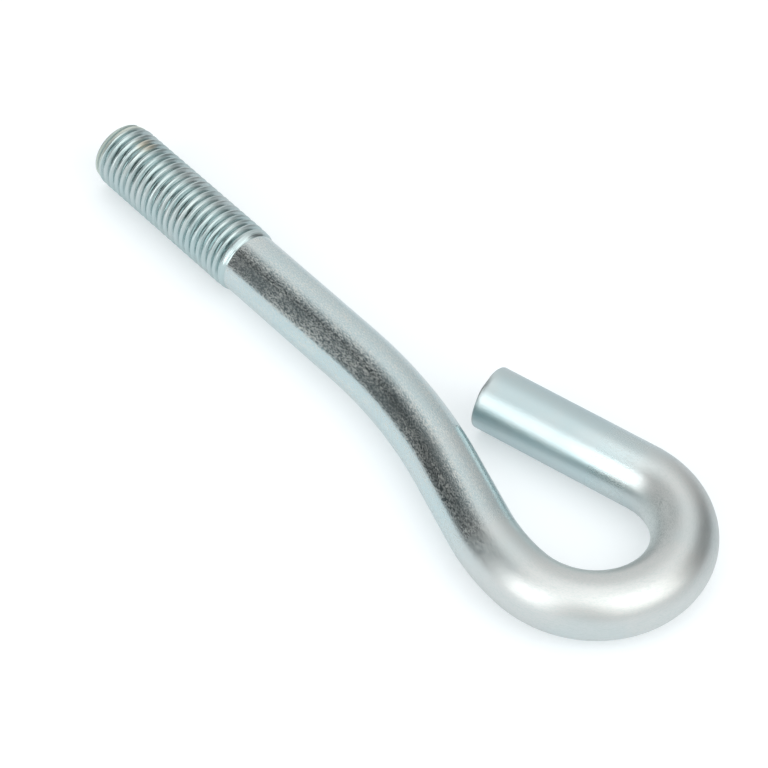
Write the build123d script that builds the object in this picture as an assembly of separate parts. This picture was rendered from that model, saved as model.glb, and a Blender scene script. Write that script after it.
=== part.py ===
from build123d import *

import os

# Foundation bolt of the hooked type: one length of round steel bar, threaded at one end by
# rolling, cold bent into a long hook at the other, and zinc plated after bending.
#
# Frame, in millimetres: the bolt lies flat on its side, so every bend is in the XY plane and
# +Z is up. The thread's axis is the X axis. The origin is on that axis, at the first full turn
# of thread; -X points out of the threaded end, and the shank runs to +X.

# Thread: M16 x 2, rolled on a bar of the thread's pitch diameter, so its crests stand proud of
# the shank. The first turns climb to full height up a taper, and the last ones sink back to the
# bar. The solid has the surface that the crests lie on, and leaves out the helix.
THREAD_DIAMETER = 16.0
THREAD_LENGTH = 40.2        # full turns, from the lead-in to the run-out
LEAD_IN_LENGTH = 2.95       # taper at the threaded end
LEAD_IN_DIAMETER = 14.6     # small end of that taper
END_CHAMFER = 0.35          # at 45 degrees, round the end face
RUN_OUT_LENGTH = 4.3        # from the last full turn down to the shank

# Bar
BAR_DIAMETER = 14.7
TIP_EDGE_RADIUS = 0.4       # rim of the cropped end

# Straight lengths and bends in order from the thread. A radius is that of the bar's centre
# line, and a positive angle turns towards +Y, the side on which the hook closes.
SHANK_LENGTH = 35.7         # plain bar, from the run-out to the first bend
SET_RADIUS = 120.0          # a long shallow set leans the hook out of the thread's line
SET_ANGLE = -18.5
RISE_LENGTH = 17.5          # straight again, up to the hook
LEAD_RADIUS = 47.5          # the bar starts to lift off the former gently,
LEAD_ANGLE = 19.3
EYE_RADIUS = 20.0           # is wrapped round it,
EYE_ANGLE = 113.9
TAIL_RADIUS = 18.5          # and is pulled a little tighter as the hook closes
TAIL_ANGLE = 79.6
TIP_LENGTH = 39.2           # straight end, back alongside the shank

thread_radius = THREAD_DIAMETER / 2
bar_radius = BAR_DIAMETER / 2
shank_start = THREAD_LENGTH + RUN_OUT_LENGTH


def threaded_end():
    """The rolled end as a turned solid: chamfer, lead-in, full thread and run-out."""
    lead_in_radius = LEAD_IN_DIAMETER / 2
    end_face = -LEAD_IN_LENGTH - END_CHAMFER
    half_section = Polyline(
        (end_face, 0),
        (end_face, lead_in_radius - END_CHAMFER),
        (-LEAD_IN_LENGTH, lead_in_radius),
        (0, thread_radius),
        (THREAD_LENGTH, thread_radius),
        (shank_start, bar_radius),
        (shank_start, 0),
        close=True,
    )
    return revolve(make_face(half_section), axis=Axis.X)


def straight(before, length):
    """A straight length of bar that carries on in the direction of what comes before it."""
    return Line(before @ 1, before @ 1 + (before % 1) * length)


def bend(before, radius, angle):
    """A bend that starts in the direction of the bar before it."""
    return JernArc(start=before @ 1, tangent=before % 1, radius=radius, arc_size=angle)


def bar_centre_line():
    """The bent bar's centre line from the thread's run-out to the cropped tip."""
    shank = Line((shank_start, 0), (shank_start + SHANK_LENGTH, 0))
    set_bend = bend(shank, SET_RADIUS, SET_ANGLE)
    rise = straight(set_bend, RISE_LENGTH)
    lead = bend(rise, LEAD_RADIUS, LEAD_ANGLE)
    eye = bend(lead, EYE_RADIUS, EYE_ANGLE)
    tail = bend(eye, TAIL_RADIUS, TAIL_ANGLE)
    tip = straight(tail, TIP_LENGTH)
    return Wire([shank, set_bend, rise, lead, eye, tail, tip])


def bent_bar():
    """The plain bar, swept along its centre line, with the rim of its cropped end eased."""
    centre_line = bar_centre_line()
    section = Plane(origin=centre_line @ 0, z_dir=centre_line % 0) * Circle(bar_radius)
    bar = sweep(section, path=centre_line)
    tip_rim = bar.edges().filter_by(GeomType.CIRCLE).sort_by_distance(centre_line @ 1)[0]
    return fillet(tip_rim, TIP_EDGE_RADIUS)


hooked_bolt = threaded_end() + bent_bar()

os.makedirs("parts", exist_ok=True)
export_step(hooked_bolt, "parts/hooked_bolt.step")
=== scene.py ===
import math

import bmesh
import bpy
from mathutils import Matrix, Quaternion, Vector, noise


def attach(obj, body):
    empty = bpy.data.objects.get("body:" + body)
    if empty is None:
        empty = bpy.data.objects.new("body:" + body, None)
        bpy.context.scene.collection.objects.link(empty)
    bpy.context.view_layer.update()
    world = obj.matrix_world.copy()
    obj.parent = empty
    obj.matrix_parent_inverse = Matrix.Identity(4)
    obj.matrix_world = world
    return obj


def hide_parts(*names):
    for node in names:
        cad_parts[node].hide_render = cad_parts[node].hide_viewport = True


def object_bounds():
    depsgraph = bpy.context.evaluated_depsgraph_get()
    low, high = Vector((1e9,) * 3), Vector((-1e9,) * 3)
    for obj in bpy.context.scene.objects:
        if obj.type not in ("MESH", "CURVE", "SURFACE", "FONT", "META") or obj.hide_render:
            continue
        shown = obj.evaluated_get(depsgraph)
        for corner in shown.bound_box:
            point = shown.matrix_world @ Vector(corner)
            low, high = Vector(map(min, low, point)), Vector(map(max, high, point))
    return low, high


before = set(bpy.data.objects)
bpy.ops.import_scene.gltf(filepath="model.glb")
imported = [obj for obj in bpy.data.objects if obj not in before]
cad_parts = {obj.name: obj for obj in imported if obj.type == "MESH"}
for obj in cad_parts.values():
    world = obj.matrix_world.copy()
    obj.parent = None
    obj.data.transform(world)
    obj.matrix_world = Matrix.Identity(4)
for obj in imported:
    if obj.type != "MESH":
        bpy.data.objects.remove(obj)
cad_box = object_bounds()
MM = 0.001


# The round bar. Mild steel, drawn to 14.7 mm and cold bent on one former after another: a long
# shallow set, a straight rise, then a hook that is led on gently and wrapped tighter and tighter.
BAR_RADIUS = 7.35 * MM
AROUND = 96                     # facets round the section
RING_STEP = 1.0 * MM            # rings along the bar
SHANK_START = 44.5 * MM         # where the thread has run out, from the first full turn
# (length, degrees turned to the left) of each stretch in order from the thread
STRETCHES = [
    (35.7 * MM, 0.0),                                   # shank
    (120.0 * MM * math.radians(18.5), -18.5),           # set bend
    (17.5 * MM, 0.0),                                   # rise
    (47.5 * MM * math.radians(19.3), 19.3),             # lead into the hook
    (20.0 * MM * math.radians(113.9), 113.9),           # eye
    (18.5 * MM * math.radians(79.6), 79.6),             # tail
    (39.2 * MM, 0.0),                                   # straight tip
]
BAR_LENGTH = sum(length for length, turn in STRETCHES)
HOOK_START = sum(length for length, turn in STRETCHES[:3])
TIP_START = BAR_LENGTH - STRETCHES[-1][0]
FLATTENING = 0.012              # share by which bending the hook thins the bar in the hook's plane
FLATTENING_IN = 20.0 * MM       # lengths of bar over which that comes and goes
FLATTENING_OUT = 15.0 * MM
TIP_EDGE = 0.4 * MM             # rounding of the tip's rim

bolt = bmesh.new()
straightened = bolt.verts.layers.float_vector.new("straight_bar")


def centre_line(along):
    """Point and heading of the bar's centre line at a distance from the run-out."""
    point = Vector((SHANK_START, 0.0, 0.0))
    heading = 0.0
    for length, turn in STRETCHES:
        step = min(along, length)
        angle = math.radians(turn) * step / length
        chord = step if angle == 0.0 else 2.0 * step / angle * math.sin(angle / 2.0)
        middle = heading + angle / 2.0
        point += Vector((math.cos(middle), math.sin(middle), 0.0)) * chord
        heading += angle
        along -= step
        if along <= 0.0:
            break
    return point, heading


def bar_section(along, radius, squeeze=0.0):
    """One ring of points square to the centre line, starting on top and going round by the right."""
    point, heading = centre_line(along)
    right = Vector((math.sin(heading), -math.cos(heading), 0.0))
    ring = []
    for j in range(AROUND):
        turn = math.tau * j / AROUND
        across = right * (math.sin(turn) * radius * (1.0 - squeeze))
        ring.append(point + across + Vector((0.0, 0.0, math.cos(turn) * radius)))
    return ring


def add_ring(points, along, radius):
    """Ring of vertices that also remember where they would be if the bar were straight."""
    ring = []
    for j, point in enumerate(points):
        turn = math.tau * j / AROUND
        vertex = bolt.verts.new(point)
        vertex[straightened] = (along, -math.sin(turn) * radius, math.cos(turn) * radius)
        ring.append(vertex)
    return ring


def skin(first, second, finish):
    """Quads between two rings, with one of the bolt's finishes."""
    for j in range(AROUND):
        k = (j + 1) % AROUND
        face = bolt.faces.new((first[j], first[k], second[k], second[j]))
        face.material_index = finish


DRAWN, ROLLED, CROPPED = range(3)
rings = math.ceil(BAR_LENGTH / RING_STEP)
previous = add_ring(bar_section(0.0, BAR_RADIUS), SHANK_START, BAR_RADIUS)
for i in range(1, rings + 1):
    along = (BAR_LENGTH - TIP_EDGE) * i / rings
    into_hook = max(0.0, min(1.0, (along - HOOK_START) / FLATTENING_IN))
    out_of_hook = max(0.0, min(1.0, (TIP_START - along) / FLATTENING_OUT))
    points = bar_section(along, BAR_RADIUS, FLATTENING * into_hook * out_of_hook)
    ring = add_ring(points, SHANK_START + along, BAR_RADIUS)
    skin(previous, ring, DRAWN)
    previous = ring


# The cropped tip. The bar is sheared to length before it is bent, which leaves a nearly square
# face with a slightly dragged rim; plating has softened the burr.
BURR = 0.10 * MM
BURR_SPACING = 2.5 * MM
tip_heading = centre_line(BAR_LENGTH)[1]
out_of_tip = Vector((math.cos(tip_heading), math.sin(tip_heading), 0.0))
for step in (30.0, 60.0, 90.0):
    drop = TIP_EDGE * (1.0 - math.cos(math.radians(step)))
    along = BAR_LENGTH - TIP_EDGE + TIP_EDGE * math.sin(math.radians(step))
    points = bar_section(along, BAR_RADIUS - drop)
    for point in points:
        point += out_of_tip * (BURR * (noise.noise(point / BURR_SPACING) - 0.5))
    ring = add_ring(points, SHANK_START + along, BAR_RADIUS - drop)
    skin(previous, ring, CROPPED)
    previous = ring
for share in (0.9, 0.7, 0.4, 0.15):
    radius = (BAR_RADIUS - TIP_EDGE) * share
    ring = add_ring(bar_section(BAR_LENGTH - BURR / 2.0, radius), SHANK_START + BAR_LENGTH, radius)
    skin(previous, ring, CROPPED)
    previous = ring
face = bolt.faces.new(previous)
face.material_index = CROPPED


# The thread. M16 x 2, right-hand, rolled onto the bar before bending, so the crests stand proud
# of the shank. Rolling folds a fine seam into each crest and pushes up a ring at the run-out.
PITCH = 2.0 * MM
CREST_RADIUS = 7.97 * MM
ROOT_RADIUS = 6.7 * MM
CREST_WIDTH = 0.58 * MM
FLANK_ANGLE = math.radians(30.0)
CREST_CORNER = 0.22 * MM        # height over which the crest is rounded into the flanks
ROOT_CORNER = 0.04 * MM
SEAM_DEPTH = 0.09 * MM
SEAM_WIDTH = 0.16 * MM
SEAM_PATCH = 2.5 * MM           # length over which the seam opens and closes
SEAM_MEAN = 0.55                # shares of its depth: the mean, the swing and the least
SEAM_SWING = 0.9
SEAM_LEAST = 0.15
FULL_THREAD = 40.2 * MM
FIRST_CREST = 0.65 * MM         # a crest's place on top of the bar, from the first full turn
GROOVE_FADES = 41.9 * MM        # where the groove begins to die out, and over what length
GROOVE_FADE = 1.9 * MM
# (place along the bar, radius) of the blank's outline that the crests reach
BLANK = [
    (-3.3 * MM, 6.95 * MM),             # end face
    (-2.95 * MM, 7.30 * MM),            # its chamfer
    (0.0, CREST_RADIUS),                # lead-in
    (FULL_THREAD, CREST_RADIUS),
    (42.4 * MM, 7.86 * MM),             # run-out
    (43.25 * MM, 7.82 * MM),            # ring pushed up in front of the rolls
    (43.65 * MM, 7.73 * MM),            # its rounded shoulder
    (44.0 * MM, 7.58 * MM),
    (44.3 * MM, 7.36 * MM),             # its foot
    (SHANK_START, BAR_RADIUS),
]
END_FACE = BLANK[0][0]
# Where the rows of vertices lie across one turn, as shares of the pitch from the crest's middle
HALF_PROFILE = [0.045, 0.08, 0.11, 0.14, 0.19, 0.25, 0.31, 0.37, 0.42, 0.46]
PROFILE = [0.0] + HALF_PROFILE + [0.5] + [1.0 - share for share in reversed(HALF_PROFILE)]
TURNS_BEFORE = 3                # turns that start before the first full one, cut off at the end face


def soft_min(a, b, rounding):
    """The smaller of two heights, with the corner between them rounded."""
    h = max(0.0, 1.0 - abs(a - b) / (2.0 * rounding))
    return min(a, b) - h * h * rounding / 2.0


def blank_radius(along):
    """Radius of the blank's outline at a place along the bar."""
    for (start, r0), (end, r1) in zip(BLANK, BLANK[1:]):
        if along <= end:
            return r0 + (r1 - r0) * max(0.0, along - start) / (end - start)
    return BAR_RADIUS


def groove_left(along):
    """How much of the groove's depth is left: all of it, until it dies out in the run-out."""
    x = max(0.0, min(1.0, (along - GROOVE_FADES) / GROOVE_FADE))
    return 1.0 - x * x * (3.0 - 2.0 * x)


def thread_surface(along, turn):
    """Radius of the rolled surface at a place along the bar and a share of a turn round it."""
    from_crest = (along - FIRST_CREST) / PITCH - turn
    across = abs((from_crest + 0.5) % 1.0 - 0.5) * PITCH
    height = CREST_RADIUS - (across - CREST_WIDTH / 2.0) / math.tan(FLANK_ANGLE)
    height = soft_min(height, CREST_RADIUS, CREST_CORNER)
    height = -soft_min(-height, -ROOT_RADIUS, ROOT_CORNER)
    angle = math.tau * turn
    spot = Vector((along, math.sin(angle) * CREST_RADIUS, math.cos(angle) * CREST_RADIUS))
    wander = max(SEAM_LEAST, SEAM_MEAN + SEAM_SWING * noise.noise(spot / SEAM_PATCH))
    seam = SEAM_DEPTH * max(0.0, 1.0 - across / SEAM_WIDTH) * wander
    depth = (CREST_RADIUS - height + seam) * groove_left(along)
    return soft_min(CREST_RADIUS - depth, blank_radius(along), ROOT_CORNER)


per_turn = len(PROFILE)
turns = math.ceil((SHANK_START - END_FACE) / PITCH) + TURNS_BEFORE
rows = []
for i in range(turns * per_turn):
    row = []
    for j in range(AROUND):
        turn = j / AROUND
        place = (i // per_turn - TURNS_BEFORE + PROFILE[i % per_turn] + turn) * PITCH + FIRST_CREST
        place = max(END_FACE, min(SHANK_START, place))
        radius = thread_surface(place, turn) if place < SHANK_START else BAR_RADIUS
        angle = math.tau * turn
        vertex = bolt.verts.new((place, -math.sin(angle) * radius, math.cos(angle) * radius))
        vertex[straightened] = vertex.co
        row.append(vertex)
    rows.append(row)
for i in range(len(rows) - 1):
    for j in range(AROUND - 1):
        face = bolt.faces.new((rows[i][j], rows[i][j + 1], rows[i + 1][j + 1], rows[i + 1][j]))
        face.material_index = ROLLED
    if i + 1 + per_turn < len(rows):
        a, b = rows[i + per_turn][0], rows[i + 1 + per_turn][0]
        face = bolt.faces.new((rows[i][-1], a, b, rows[i + 1][-1]))
        face.material_index = ROLLED
WELD = 0.004 * MM
SLIVER = 0.001 * MM
bmesh.ops.remove_doubles(bolt, verts=bolt.verts[:], dist=WELD)
bmesh.ops.dissolve_degenerate(bolt, edges=bolt.edges[:], dist=SLIVER)


# The threaded end's face. It is faced square when the chamfer is turned, before rolling, and the
# plating has left its rim a little proud.
FACE_SETBACK = 0.05 * MM
rim = [v for v in bolt.verts if v.is_boundary]
rim.sort(key=lambda v: math.atan2(-v.co.y, v.co.z) % math.tau)
previous = rim
for share in (0.96, 0.8, 0.5, 0.2):
    ring = []
    for vertex in rim:
        inner = bolt.verts.new((END_FACE + FACE_SETBACK, vertex.co.y * share, vertex.co.z * share))
        inner[straightened] = inner.co
        ring.append(inner)
    skin(ring, previous, CROPPED)
    previous = ring
face = bolt.faces.new(previous)
face.material_index = CROPPED
bmesh.ops.recalc_face_normals(bolt, faces=bolt.faces[:])


# The plating. Bright electroplated zinc under a clear passivate, put on after bending: a pale
# metal that leans to blue-green, fine-grained, dull where the bar was stretched round the former.
def node(tree, kind, inputs=None, **settings):
    """Add a shader node; inputs maps a socket to a value, or to the socket that feeds it."""
    made = tree.nodes.new("ShaderNode" + kind)
    for name, value in settings.items():
        setattr(made, name, value)
    for socket, value in (inputs or {}).items():
        if isinstance(value, bpy.types.NodeSocket):
            tree.links.new(value, made.inputs[socket])
        else:
            made.inputs[socket].default_value = value
    return made


def reckon(tree, operation, *values, use_clamp=False):
    """One sum, and the socket it comes out of."""
    inputs = dict(enumerate(values))
    return node(tree, "Math", inputs, operation=operation, use_clamp=use_clamp).outputs[0]


def graded(tree, value, span, levels=(0.0, 1.0), ease=True):
    """A level that goes from the first to the second while the value crosses the span."""
    return node(tree, "MapRange", {
        "Value": value,
        "From Min": span[0],
        "From Max": span[1],
        "To Min": levels[0],
        "To Max": levels[1],
    }, interpolation_type="SMOOTHSTEP" if ease else "LINEAR").outputs[0]


def mixed(tree, kind, factor, a, b):
    """A blend of two colours (kind RGBA) or of two numbers (kind FLOAT)."""
    inputs = {"Factor": factor, "A": a, "B": b}
    return node(tree, "Mix", inputs, data_type=kind).outputs["Result"]


def effect(name, inputs, outputs):
    """Start a node group with named sockets, given as (name, kind) pairs."""
    group = bpy.data.node_groups.new(name, "ShaderNodeTree")
    for direction, sockets in (("INPUT", inputs), ("OUTPUT", outputs)):
        for socket, kind in sockets:
            group.interface.new_socket(name=socket, in_out=direction, socket_type="NodeSocket" + kind)
    return group, group.nodes.new("NodeGroupInput").outputs, group.nodes.new("NodeGroupOutput").inputs


def place_effect(tree, group, inputs):
    """Put an effect in a material with its own values."""
    return node(tree, "Group", inputs, node_tree=group).outputs


# Colour: the passivate film is bluer or warmer in wide soft patches
PATCH_NOISE = (0.3, 0.7)        # levels of the noise at the bluest and the warmest patch
PATCH_SHIFT = (-0.4, 0.4)       # what they add to the warmth
passivate, given, gives = effect(
    "passivate",
    [
        ("Place", "Vector"),
        ("Blue", "Color"),
        ("Warm", "Color"),
        ("Warmth", "Float"),
        ("Patch Size", "Float"),
    ],
    [("Color", "Color")],
)
fineness = reckon(passivate, "DIVIDE", 1.0, given["Patch Size"])
patches = node(passivate, "TexNoise", {"Vector": given["Place"], "Scale": fineness, "Detail": 3.0})
drift = graded(passivate, patches.outputs["Fac"], PATCH_NOISE, PATCH_SHIFT, ease=False)
warmth = reckon(passivate, "ADD", given["Warmth"], drift, use_clamp=True)
film = mixed(passivate, "RGBA", warmth, given["Blue"], given["Warm"])
passivate.links.new(film, gives["Color"])

# Grain: the zinc grows dull in thin winding flecks, drawn out along the bar, crowded in patches
CLUMP_FINENESS = 0.12           # fineness of the patches against that of the flecks
CLUMPING = 0.4                  # how much the patches add to the cover
FLECK_NARROWING = -5.0          # how fast a fleck fades away from its middle
FLECK_EDGE = (0.27, 0.64)       # over which it turns from smooth film to dull fleck
crystals, given, gives = effect(
    "crystals",
    [("Place", "Vector"), ("Grain", "Float"), ("Length", "Float"), ("Cover", "Float")],
    [("Dull", "Float"), ("Relief", "Float")],
)
shorten = reckon(crystals, "DIVIDE", 1.0, given["Length"])
stretch = node(crystals, "CombineXYZ", {"X": shorten, "Y": 1.0, "Z": 1.0}).outputs[0]
along_bar = node(crystals, "VectorMath", {0: given["Place"], 1: stretch}, operation="MULTIPLY").outputs[0]
fineness = reckon(crystals, "DIVIDE", 1.0, given["Grain"])
fine = node(crystals, "TexNoise", {"Vector": along_bar, "Scale": fineness, "Detail": 2.0}).outputs["Fac"]
fineness = reckon(crystals, "DIVIDE", CLUMP_FINENESS, given["Grain"])
coarse = node(crystals, "TexNoise", {"Vector": along_bar, "Scale": fineness, "Detail": 2.0}).outputs["Fac"]
from_middle = reckon(crystals, "ABSOLUTE", reckon(crystals, "SUBTRACT", fine, 0.5))
covered = reckon(crystals, "MULTIPLY_ADD", coarse, CLUMPING, given["Cover"])
flecked = reckon(crystals, "MULTIPLY_ADD", from_middle, FLECK_NARROWING, covered)
dull = graded(crystals, flecked, FLECK_EDGE, ease=False)
crystals.links.new(dull, gives["Dull"])
crystals.links.new(fine, gives["Relief"])

BLUE_FILM = (0.525, 0.64, 0.66, 1.0)
WARM_FILM = (0.64, 0.66, 0.65, 1.0)


def zinc_plate(name):
    """A metal surface, and where on the straight bar each point of it was."""
    material = bpy.data.materials.new(name)
    material.use_nodes = True
    tree = material.node_tree
    surface = tree.nodes["Principled BSDF"]
    surface.inputs["Metallic"].default_value = 1.0
    place = node(tree, "Attribute", attribute_name="straight_bar").outputs["Vector"]
    return material, tree, surface.inputs, place


# Drawn bar: smooth and pale-flecked on the shank, duller and warmer round the hook. Places are
# from the first full turn of the thread, along the bar while it was straight.
HOOK_BEGINS = (124.0 * MM, 155.0 * MM)
HOOK_ENDS = (235.0 * MM, 205.0 * MM)
TIP_BEGINS = (205.0 * MM, 235.0 * MM)
SHANK_FLECKS = (0.74, 0.755, 0.72, 1.0)
HOOK_FLECKS = (0.58, 0.635, 0.625, 1.0)
FLECKS_THIN = (212.0 * MM, 232.0 * MM)
FLECK_COVER = (0.39, 0.22)
SHANK_TO_HOOK_ROUGHNESS = (0.14, 0.37)
TIP_ROUGHNESS = 0.36
FLECK_ROUGHNESS = 0.50
drawn, tree, surface, place = zinc_plate("drawn_zinc")
axes = node(tree, "SeparateXYZ", {0: place}).outputs
entering = graded(tree, axes["X"], HOOK_BEGINS)
leaving = graded(tree, axes["X"], HOOK_ENDS)
bent = reckon(tree, "MULTIPLY", entering, leaving)
colour = place_effect(tree, passivate, {
    "Place": place, "Blue": BLUE_FILM, "Warm": WARM_FILM, "Warmth": bent, "Patch Size": 14.0 * MM,
})["Color"]
cover = graded(tree, axes["X"], FLECKS_THIN, FLECK_COVER, ease=False)
grain = place_effect(tree, crystals, {"Place": place, "Grain": 0.27 * MM, "Length": 4.2, "Cover": cover})
tail = graded(tree, axes["X"], TIP_BEGINS, (0.0, TIP_ROUGHNESS), ease=False)
smooth = graded(tree, bent, (0.0, 1.0), SHANK_TO_HOOK_ROUGHNESS, ease=False)
smooth = reckon(tree, "MAXIMUM", smooth, tail)
# The inside of the tightest turn was pressed against the former, which left it scuffed. Its paler colour
# there is a painted reflection that lightens the turn.
PRESSED_AND_REFLECTION_FROM = (178.0 * MM, 194.0 * MM)
PRESSED_AND_REFLECTION_TO = (216.0 * MM, 202.0 * MM)
PRESSED_AND_REFLECTION_SIDE = (0.5 * MM, 5.0 * MM)
PRESSED_ROUGHNESS = 0.62
PAINTED_REFLECTION_ZINC = (0.82, 0.86, 0.85, 1.0)
nearing = graded(tree, axes["X"], PRESSED_AND_REFLECTION_FROM)
passing = graded(tree, axes["X"], PRESSED_AND_REFLECTION_TO)
inside = graded(tree, axes["Y"], PRESSED_AND_REFLECTION_SIDE)
pressed_and_painted_reflection = reckon(tree, "MULTIPLY", reckon(tree, "MULTIPLY", nearing, passing), inside)
scuffed = mixed(tree, "FLOAT", pressed_and_painted_reflection, smooth, PRESSED_ROUGHNESS)
rough = mixed(tree, "FLOAT", grain["Dull"], scuffed, FLECK_ROUGHNESS)
tree.links.new(rough, surface["Roughness"])
# Painted reflection: a paler colour on the inside of the tightest turn lightens it.
colour = mixed(tree, "RGBA", pressed_and_painted_reflection, colour, PAINTED_REFLECTION_ZINC)
flecks = mixed(tree, "RGBA", entering, SHANK_FLECKS, HOOK_FLECKS)
colour = mixed(tree, "RGBA", grain["Dull"], colour, flecks)
tree.links.new(colour, surface["Base Color"])
relief = node(tree, "Bump", {"Height": grain["Relief"], "Distance": 0.022 * MM})
tree.links.new(relief.outputs["Normal"], surface["Normal"])

# Rolled thread: satin on the crests and glossier down in the grooves, which are darkened by painted shade.
# The end's rim is matt, the ring at the run-out bright, and the first turns have a stain.
ROLLED_FILM = (0.50, 0.61, 0.615, 1.0)
GROOVE_PAINTED_SHADE = (0.44, 0.54, 0.545, 1.0)
GROOVE_DEPTH = (CREST_RADIUS - 0.25 * MM, ROOT_RADIUS + 0.1 * MM)
CREST_TO_GROOVE_ROUGHNESS = (0.34, 0.14)
ROLL_LINES = 0.28 * MM
ROLL_LENGTH = 6.0 * MM
RIM_ZINC = (0.73, 0.78, 0.71, 1.0)
RIM_AT = (-0.4 * MM, -1.6 * MM)
RIM_ROUGHNESS = 0.6
STAIN = (0.60, 0.52, 0.38, 1.0)
STAIN_AT = (5.7 * MM, 1.4 * MM, 7.9 * MM)
STAIN_REACH = (3.4 * MM, 0.8 * MM)
STAIN_STRENGTH = 0.6
RING_AT = (42.6 * MM, 43.4 * MM)
RING_ROUGHNESS = 0.22
rolled, tree, surface, place = zinc_plate("rolled_zinc")
axes = node(tree, "SeparateXYZ", {0: place}).outputs
colour = place_effect(tree, passivate, {
    "Place": place, "Blue": ROLLED_FILM, "Warm": WARM_FILM, "Warmth": 0.1, "Patch Size": 9.0 * MM,
})["Color"]
grain = place_effect(tree, crystals, {"Place": place, "Grain": 0.3 * MM, "Length": 0.8, "Cover": 0.18})
across = node(tree, "CombineXYZ", {"Y": axes["Y"], "Z": axes["Z"]}).outputs[0]
radius = node(tree, "VectorMath", {0: across}, operation="LENGTH").outputs["Value"]
depth = graded(tree, radius, GROOVE_DEPTH)
rim = graded(tree, axes["X"], RIM_AT)
ring = graded(tree, axes["X"], RING_AT)
from_stain = node(tree, "VectorMath", {0: place, 1: STAIN_AT}, operation="DISTANCE").outputs["Value"]
stain = graded(tree, from_stain, STAIN_REACH, (0.0, STAIN_STRENGTH))
colour = mixed(tree, "RGBA", rim, colour, RIM_ZINC)
colour = mixed(tree, "RGBA", stain, colour, STAIN)
# Painted shade: the grooves get a darker colour.
colour = mixed(tree, "RGBA", depth, colour, GROOVE_PAINTED_SHADE)
tree.links.new(colour, surface["Base Color"])
smooth = graded(tree, depth, (0.0, 1.0), CREST_TO_GROOVE_ROUGHNESS, ease=False)
rough = mixed(tree, "FLOAT", grain["Dull"], smooth, FLECK_ROUGHNESS)
rough = mixed(tree, "FLOAT", rim, rough, RIM_ROUGHNESS)
rough = mixed(tree, "FLOAT", ring, rough, RING_ROUGHNESS)
tree.links.new(rough, surface["Roughness"])
# Rolling draws fine lines along the groove, so they climb with the helix
turned = reckon(tree, "ARCTAN2", reckon(tree, "MULTIPLY", axes["Y"], -1.0), axes["Z"])
climb = reckon(tree, "MULTIPLY_ADD", turned, -PITCH / math.tau, axes["X"])
unwound = node(tree, "CombineXYZ", {"X": climb, "Y": axes["Y"], "Z": axes["Z"]}).outputs[0]
fineness = (1.0 / ROLL_LINES, 1.0 / ROLL_LENGTH, 1.0 / ROLL_LENGTH)
unwound = node(tree, "VectorMath", {0: unwound, 1: fineness}, operation="MULTIPLY").outputs[0]
lines = node(tree, "TexNoise", {"Vector": unwound, "Scale": 1.0, "Detail": 1.0}).outputs["Fac"]
relief = node(tree, "Bump", {"Height": lines, "Distance": 0.12 * MM})
tree.links.new(relief.outputs["Normal"], surface["Normal"])

# Cut ends: torn and matt
CUT_ROUGHNESS = 0.35
TORN_ROUGHNESS = 0.65
cropped, tree, surface, place = zinc_plate("cropped_zinc")
colour = place_effect(tree, passivate, {
    "Place": place, "Blue": BLUE_FILM, "Warm": WARM_FILM, "Warmth": 0.6, "Patch Size": 4.0 * MM,
})["Color"]
grain = place_effect(tree, crystals, {"Place": place, "Grain": 0.5 * MM, "Length": 1.0, "Cover": 0.36})
tree.links.new(colour, surface["Base Color"])
rough = mixed(tree, "FLOAT", grain["Dull"], CUT_ROUGHNESS, TORN_ROUGHNESS)
tree.links.new(rough, surface["Roughness"])
relief = node(tree, "Bump", {"Height": grain["Relief"], "Distance": 0.08 * MM})
tree.links.new(relief.outputs["Normal"], surface["Normal"])


# The finished bolt. One length of plated steel: bar, thread and both ends in a single skin, with
# the thread's run-out and the cut rims left sharp enough to catch the light.
SHARP = math.radians(38.0)
for face in bolt.faces:
    face.smooth = True
for edge in bolt.edges:
    edge.smooth = edge.calc_face_angle(0.0) < SHARP
mesh = bpy.data.meshes.new("foundation_bolt")
bolt.to_mesh(mesh)
bolt.free()
for finish in (drawn, rolled, cropped):
    mesh.materials.append(finish)
foundation_bolt = bpy.data.objects.new("foundation_bolt", mesh)
bpy.context.scene.collection.objects.link(foundation_bolt)
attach(foundation_bolt, "root")
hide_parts("hooked_bolt")


# The table. A plain white board that the bolt lies on. Part of its white is its own glow, for the camera
# and for reflections, where it dims towards the back as a painted shadow of the bolt; the rest is lit, so
# it takes the shadow.
TABLE_SIZE = 6.0
TABLE_TOP = cad_box[0][2]
BOARD_COLOUR = (0.61, 0.64, 0.665, 1.0)
BOARD_GLOW_COLOUR = (0.96, 1.0, 1.0, 1.0)
BOARD_GLOW = 0.425
FADE_AT = (0.0, 60.0 * MM)
REFLECTION_PAINTED_SHADOW = (0.75, 0.35)
edge = TABLE_SIZE / 2.0
corners = [(x, y, TABLE_TOP) for x, y in ((-edge, -edge), (edge, -edge), (edge, edge), (-edge, edge))]
table_mesh = bpy.data.meshes.new("table")
table_mesh.from_pydata(corners, [], [(0, 1, 2, 3)])
table = bpy.data.objects.new("table", table_mesh)
bpy.context.scene.collection.objects.link(table)
board = bpy.data.materials.new("white_board")
board.use_nodes = True
tree = board.node_tree
surface = tree.nodes["Principled BSDF"].inputs
surface["Base Color"].default_value = BOARD_COLOUR
surface["Roughness"].default_value = 1.0
surface["Specular IOR Level"].default_value = 0.0
surface["Emission Color"].default_value = BOARD_GLOW_COLOUR
ray = node(tree, "LightPath").outputs
mirrored = reckon(tree, "ADD", ray["Is Glossy Ray"], ray["Is Transmission Ray"])
spot = node(tree, "TexCoord").outputs["Object"]
back = node(tree, "SeparateXYZ", {0: spot}).outputs["Y"]
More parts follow.
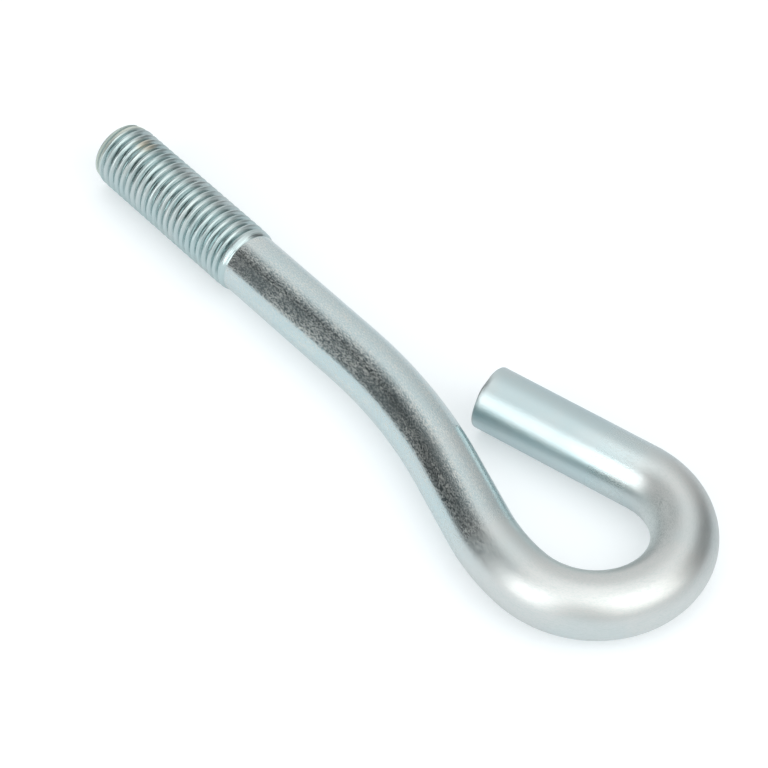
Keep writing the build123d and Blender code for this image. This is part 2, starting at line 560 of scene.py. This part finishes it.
# Painted shadow: the glow that reflections see dims behind the bolt, where its shadow falls.
painted_shadow_behind = graded(tree, back, FADE_AT, REFLECTION_PAINTED_SHADOW)
seen = reckon(tree, "MULTIPLY_ADD", mirrored, painted_shadow_behind, ray["Is Camera Ray"])
glow = reckon(tree, "MULTIPLY", seen, BOARD_GLOW)
tree.links.new(glow, surface["Emission Strength"])
table_mesh.materials.append(board)


# The room. Pale walls with two unlit gaps, one to the left of the camera and one to its right,
# under a brighter ceiling that comes down lower over the right one.
CEILING = 1.40
CEILING_WHOLE = math.sin(math.radians(66.0))    # height in the room above which it is all ceiling
# (bearing in degrees from +X towards +Y, brightness) round the walls
WALLS = [
    (-180, 0.32), (-168, 0.21), (-155, 0.11), (-146, 0.06), (-132, 0.17), (-122, 0.15), (-112, 0.55),
    (-60, 0.80), (-42, 0.70), (-25, 0.74), (35, 0.74), (48, 0.38), (62, 0.16), (88, 0.18), (102, 0.53),
    (122, 0.84), (132, 0.92), (148, 0.92), (165, 0.60), (180, 0.32),
]
# (bearing, elevation in degrees) where the walls start to give way to the ceiling's light
WALL_TOPS = [
    (-180, 61.5), (-160, 60.0), (-135, 55.5), (-110, 53.0), (35, 53.0), (60, 36.0), (105, 36.0),
    (125, 53.0), (145, 54.0), (165, 59.0), (180, 61.5),
]
world = bpy.data.worlds.new("room")
bpy.context.scene.world = world
world.use_nodes = True
tree = world.node_tree
axes = node(tree, "SeparateXYZ", {0: node(tree, "TexCoord").outputs["Generated"]}).outputs
bearing = reckon(tree, "ARCTAN2", axes["Y"], axes["X"])
round_room = graded(tree, bearing, (-math.pi, math.pi), ease=False)


def ramp_round_room(levels):
    """A value that runs round the room through the given levels by bearing."""
    ramp = node(tree, "ValToRGB", {"Fac": round_room})
    stops = ramp.color_ramp.elements
    while len(stops) < len(levels):
        stops.new(0.5)
    for stop, (degrees, level) in zip(stops, levels):
        stop.position = (degrees + 180.0) / 360.0
        stop.color = (level, level, level, 1.0)
    return ramp.outputs["Color"]


walls = ramp_round_room(WALLS)
tops = ramp_round_room([(degrees, math.sin(math.radians(top))) for degrees, top in WALL_TOPS])
height = graded(tree, axes["Z"], (tops, CEILING_WHOLE))
room = mixed(tree, "RGBA", height, walls, (CEILING, CEILING, CEILING, 1.0))
tree.links.new(room, tree.nodes["Background"].inputs["Color"])


# The lamps. Two softboxes on stands, one at each side of the camera, both aimed at the bolt.
# The right one is a little warmer and weaker.
BENCH = Vector(((cad_box[0][0] + cad_box[1][0]) / 2.0, 0.0, 0.0))


def direction_to(bearing, elevation):
    """Unit vector towards a bearing and an elevation, in degrees."""
    flat = math.cos(math.radians(elevation))
    return Vector((
        math.cos(math.radians(bearing)) * flat,
        math.sin(math.radians(bearing)) * flat,
        math.sin(math.radians(elevation)),
    ))


def softbox(name, bearing, elevation, distance, width, height, brightness, tint):
    """Area lamp whose face has the given brightness, where 1 is that of white paper in the room."""
    light = bpy.data.lights.new(name, "AREA")
    light.shape = "RECTANGLE"
    light.size = width
    light.size_y = height
    light.color = tint
    light.energy = brightness * math.pi * width * height
    lamp = bpy.data.objects.new(name, light)
    away = direction_to(bearing, elevation)
    lamp.location = BENCH + away * distance
    lamp.rotation_euler = away.to_track_quat("Z", "Y").to_euler()
    bpy.context.scene.collection.objects.link(lamp)


softbox(
    "left_softbox", bearing=-90.0, elevation=31.5, distance=0.80, width=0.56, height=0.83,
    brightness=1.55, tint=(1.0, 1.0, 1.0),
)
softbox(
    "right_softbox", bearing=7.0, elevation=41.0, distance=0.80, width=0.76, height=0.66,
    brightness=1.20, tint=(1.0, 0.985, 0.955),
)


# The camera. It stands out beyond the hook on its open side, with a long lens, and looks down at a
# little under fifty degrees.
CAMERA_BEARING = -42.97
CAMERA_ELEVATION = 48.47
CAMERA_DISTANCE = 657.6 * MM
CAMERA_ROLL = math.radians(2.33)
FOCAL_LENGTH = 140.6
SENSOR_WIDTH = 36.0
AIM_FROM_MIDDLE = (4.4 * MM, -5.9 * MM)
middle = (Vector(cad_box[0]) + Vector(cad_box[1])) / 2.0
aim = Vector((middle.x + AIM_FROM_MIDDLE[0], middle.y + AIM_FROM_MIDDLE[1], 0.0))
away = direction_to(CAMERA_BEARING, CAMERA_ELEVATION)
camera_data = bpy.data.cameras.new("camera")
camera_data.sensor_width = SENSOR_WIDTH
camera_data.lens = FOCAL_LENGTH
camera = bpy.data.objects.new("camera", camera_data)
camera.location = aim + away * CAMERA_DISTANCE
roll = Quaternion((0.0, 0.0, 1.0), CAMERA_ROLL)
camera.rotation_euler = (away.to_track_quat("Z", "Y") @ roll).to_euler()
bpy.context.scene.collection.objects.link(camera)
bpy.context.scene.camera = camera
bpy.context.scene.view_settings.view_transform = "Standard"
